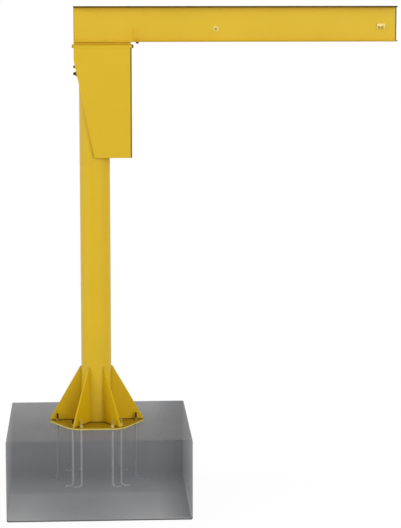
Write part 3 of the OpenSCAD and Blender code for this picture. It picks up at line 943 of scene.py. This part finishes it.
def make_floor():
    """A pale floor that the camera, gloss and glass see as white apart from the object's shadow."""
    mesh = bpy.data.meshes.new("floor")
    corners = [(x * FLOOR_SIZE, y * FLOOR_SIZE, -MM) for x, y in ((-1, -1), (1, -1), (1, 1), (-1, 1))]
    mesh.from_pydata(corners, [], [(0, 1, 2, 3)])
    floor = bpy.data.objects.new("floor", mesh)
    bpy.context.scene.collection.objects.link(floor)
    n = Nodes("floor")
    matt = n.add("ShaderNodeBsdfDiffuse", Color=FLOOR_COLOUR)
    glow = n.add("ShaderNodeEmission", Color=WHITE, Strength=FLOOR_WHITE)
    mix_shaders(n.tree, n.times(seen_white(n.tree), FLOOR_GLOW), matt.outputs["BSDF"],
                glow.outputs["Emission"], n.output)
    mesh.materials.append(n.material)


def make_world():
    """Soft even light, seen as white."""
    world = bpy.data.worlds.new("studio")
    bpy.context.scene.world = world
    world.use_nodes = True
    tree = world.node_tree
    tree.nodes.clear()
    light = tree.nodes.new("ShaderNodeBackground")
    light.inputs["Strength"].default_value = SKY_LIGHT
    white = tree.nodes.new("ShaderNodeBackground")
    white.inputs["Color"].default_value = WHITE
    white.inputs["Strength"].default_value = 1.0
    output = tree.nodes.new("ShaderNodeOutputWorld")
    mix_shaders(tree, seen_white(tree), light.outputs["Background"], white.outputs["Background"], output)


def make_lamp(name, energy, azimuth, elevation):
    """A soft far-off lamp; azimuth 0 stands behind the camera and grows towards +X."""
    lamp = bpy.data.lights.new(name, "SUN")
    lamp.energy = energy
    lamp.angle = radians(LAMP_WIDTH)
    obj = bpy.data.objects.new(name, lamp)
    a, e = radians(azimuth), radians(elevation)
    towards = Vector((sin(a) * cos(e), -cos(a) * cos(e), sin(e)))
    obj.rotation_euler = towards.to_track_quat("Z", "Y").to_euler()
    bpy.context.scene.collection.objects.link(obj)


def make_camera():
    """The camera, at the height, distance and lens solved for this view."""
    data = bpy.data.cameras.new("camera")
    data.sensor_width = SENSOR_MM
    data.lens = LENS_MM
    data.clip_end = 1000.0
    camera = bpy.data.objects.new("camera", data)
    camera.location = CAMERA_AT
    camera.rotation_euler = (CAMERA_AIM - CAMERA_AT).to_track_quat("-Z", "Y").to_euler()
    bpy.context.scene.collection.objects.link(camera)
    bpy.context.scene.camera = camera


# ---------------------------------------------------------------- the scene

YELLOW = yellow_paint("yellow_paint", *HEAD_PAINT, reach=NEAR_REACH)
BOOM_YELLOW = yellow_paint("yellow_paint_boom", *BOOM_PAINT, reach=None, darkened=web_edges, darkness=0.8)
TOP_FLANGE = yellow_paint("yellow_paint_top_flange", *DUSTY_BOOM, reach=NEAR_REACH, darkened=top_flange_darkened)
LOWER_FLANGE = yellow_paint("yellow_paint_lower_flange", *BOOM_PAINT, reach=NEAR_REACH,
                            darkened=lower_flange_darkened)
SHELL = yellow_paint("yellow_paint_shell", *HEAD_PAINT, reach=NEAR_REACH, darkened=shell_bends, darkness=0.85)
HEAD_PLATE = yellow_paint("yellow_paint_head_plate", *HEAD_PAINT, reach=NEAR_REACH, darkened=plate_ends,
                          darkness=0.9)
MAST_YELLOW = yellow_paint("yellow_paint_mast", *MAST_PAINT, foot_shade=MAST_FOOT_SHADE, heights=MAST_SHADE_HEIGHTS)
BASE_YELLOW = yellow_paint("yellow_paint_base", *BASE_PAINT)
PLATE, WELD_SHADE, TIE, DARK = plate_paint(), weld_shade_paint(), tie_paint(), dark_steel()
GOLD = gold_zinc("gold_zinc", (0.70, 0.53, 0.16), (0.86, 0.72, 0.30))
BOLT_GOLD = gold_zinc("gold_zinc_bolts", (0.33, 0.23, 0.03), (0.45, 0.33, 0.06))
ANCHOR_GOLD, RODS = anchor_gold(), anchor_steel()
MACHINED, BRONZE, BLOCK = machined_steel(), bearing_bronze(), see_through_block()

bpy.context.scene.view_settings.view_transform = "Standard"
make_camera()
make_world()
make_floor()
for name, values in LAMPS.items():
    make_lamp(name, *values)

make_block()
make_anchors()
replace_nuts("rear_tie_nuts", "rear_tie_hex_nuts", "x", BOLT / 2, TIE)
replace_bolts("rear_tie_bolts", "rear_tie_hex_bolts", "x", BOLT, TIE)
replace_nuts("inner_stop_nuts", "inner_stop_hex_nuts", "z", BOLT / 2, DARK)
replace_bolts("inner_stop_bolts", "inner_stop_hex_bolts", "z", BOLT, YELLOW, flip=True)
replace_nuts("web_nuts", "web_hex_nuts", "y", BOLT / 2, BOLT_GOLD)
replace_bolts("web_bolts", "web_hex_bolts", "y", BOLT, BOLT_GOLD)
replace_nuts("boom_nuts", "boom_hex_nuts", "z", BOOM_NUT_BORE, DARK)
make_column_welds()
make_boom_welds()
make_head_welds()

PLAIN = ("mast_cap", "boom_saddle", "head_saddle", "bearing_housing", "rear_tie_bar", "rear_tie_lugs",
         "roller_bracket_upper", "roller_bracket_lower", "inner_stops")
PAINTS = dict.fromkeys(PLAIN, YELLOW)
PAINTS |= {"mast": MAST_YELLOW, "head_shell": SHELL, "head_top_plate": HEAD_PLATE,
           "boom_top_flange": TOP_FLANGE, "boom_web": BOOM_YELLOW, "boom_bottom_flange": LOWER_FLANGE,
           "base_plate": PLATE}
PAINTS |= {node: BASE_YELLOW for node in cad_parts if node.startswith("gusset_")}
for node, paint in PAINTS.items():
    dress(node, paint, EDGE)
dress("anchor_washers", ANCHOR_GOLD, WASHER_EDGE)
for node in ("web_washers", "end_stops"):
    dress(node, GOLD, WASHER_EDGE)
for node in ("pivot_pin", "rollers", "roller_axles"):
    dress(node, MACHINED, TURNED_EDGE)
dress("thrust_washer", BRONZE, SMALL_EDGE)
dress("boom_bolts", DARK, SMALL_EDGE)

# The web stays clear beside the inner stops, so they cast no shadow on it
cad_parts["inner_stops"].visible_shadow = False
